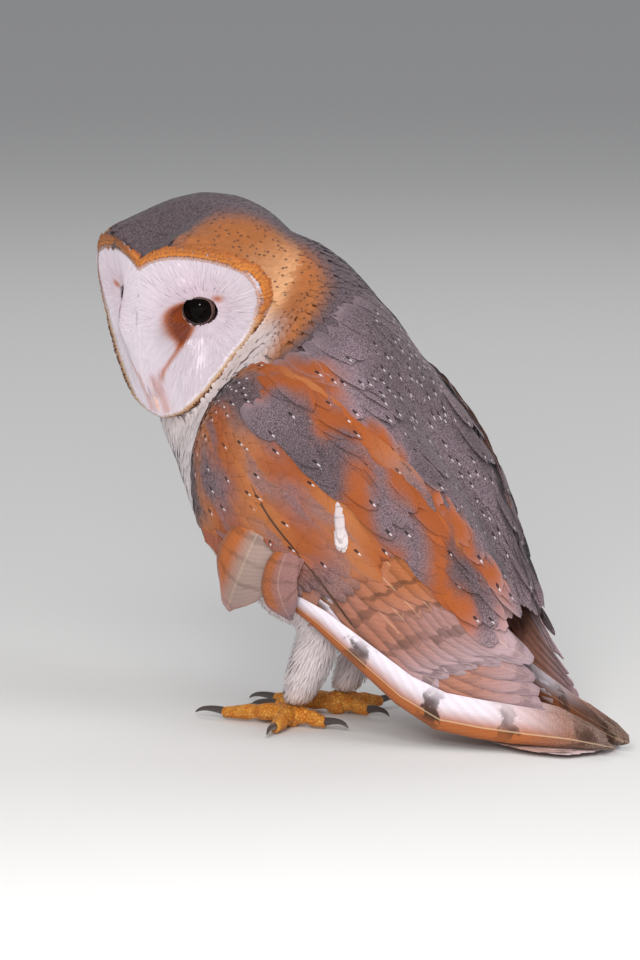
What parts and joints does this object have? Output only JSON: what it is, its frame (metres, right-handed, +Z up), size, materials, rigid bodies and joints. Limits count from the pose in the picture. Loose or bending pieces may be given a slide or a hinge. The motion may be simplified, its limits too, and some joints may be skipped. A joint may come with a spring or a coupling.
{
  "type": "barn owl",
  "caption": "Standing barn owl with folded wings and tail laid on the floor, its heart-shaped face turned over one shoulder; a still, life-size model.",
  "frame": {"origin": "middle of the base of the box that holds the whole owl, at floor level", "axes": "+Z up; the breast points along -Y, the tail along +Y and the owl's left side is +X, which is where its face is turned"},
  "size_m": [0.132, 0.3028, 0.2548],
  "materials": {
    "face_feathers": "soft pale facial and head feathers",
    "pale_feathers": "soft white throat and neck feathers",
    "body_feathers": "orange-buff feathers veiled with grey, matt",
    "flight_feathers": "orange-buff barred flight feathers, matt",
    "leg_down": "short white down",
    "toe_skin": "scaly orange-yellow skin",
    "claw_horn": "dark glossy horn",
    "bill_horn": "pale pinkish horn",
    "eye": "black, wet gloss"
  },
  "bodies": {
    "root": {"head": "face_feathers", "neck": "pale_feathers", "trunk": "body_feathers", "wing_left": "body_feathers", "wing_right": "body_feathers", "flight_left": "flight_feathers", "flight_right": "flight_feathers", "alula_left": "flight_feathers", "alula_right": "flight_feathers", "tail": "flight_feathers", "thigh_left": "leg_down", "thigh_right": "leg_down", "shank_left": "leg_down", "shank_right": "leg_down", "foot_left": "toe_skin", "foot_right": "toe_skin", "claw_left_inner": "claw_horn", "claw_left_middle": "claw_horn", "claw_left_outer": "claw_horn", "claw_left_hind": "claw_horn", "claw_right_inner": "claw_horn", "claw_right_middle": "claw_horn", "claw_right_outer": "claw_horn", "claw_right_hind": "claw_horn", "bill_upper": "bill_horn", "bill_lower": "bill_horn", "eye_left": "eye", "eye_right": "eye"}
  },
  "joints": []
}
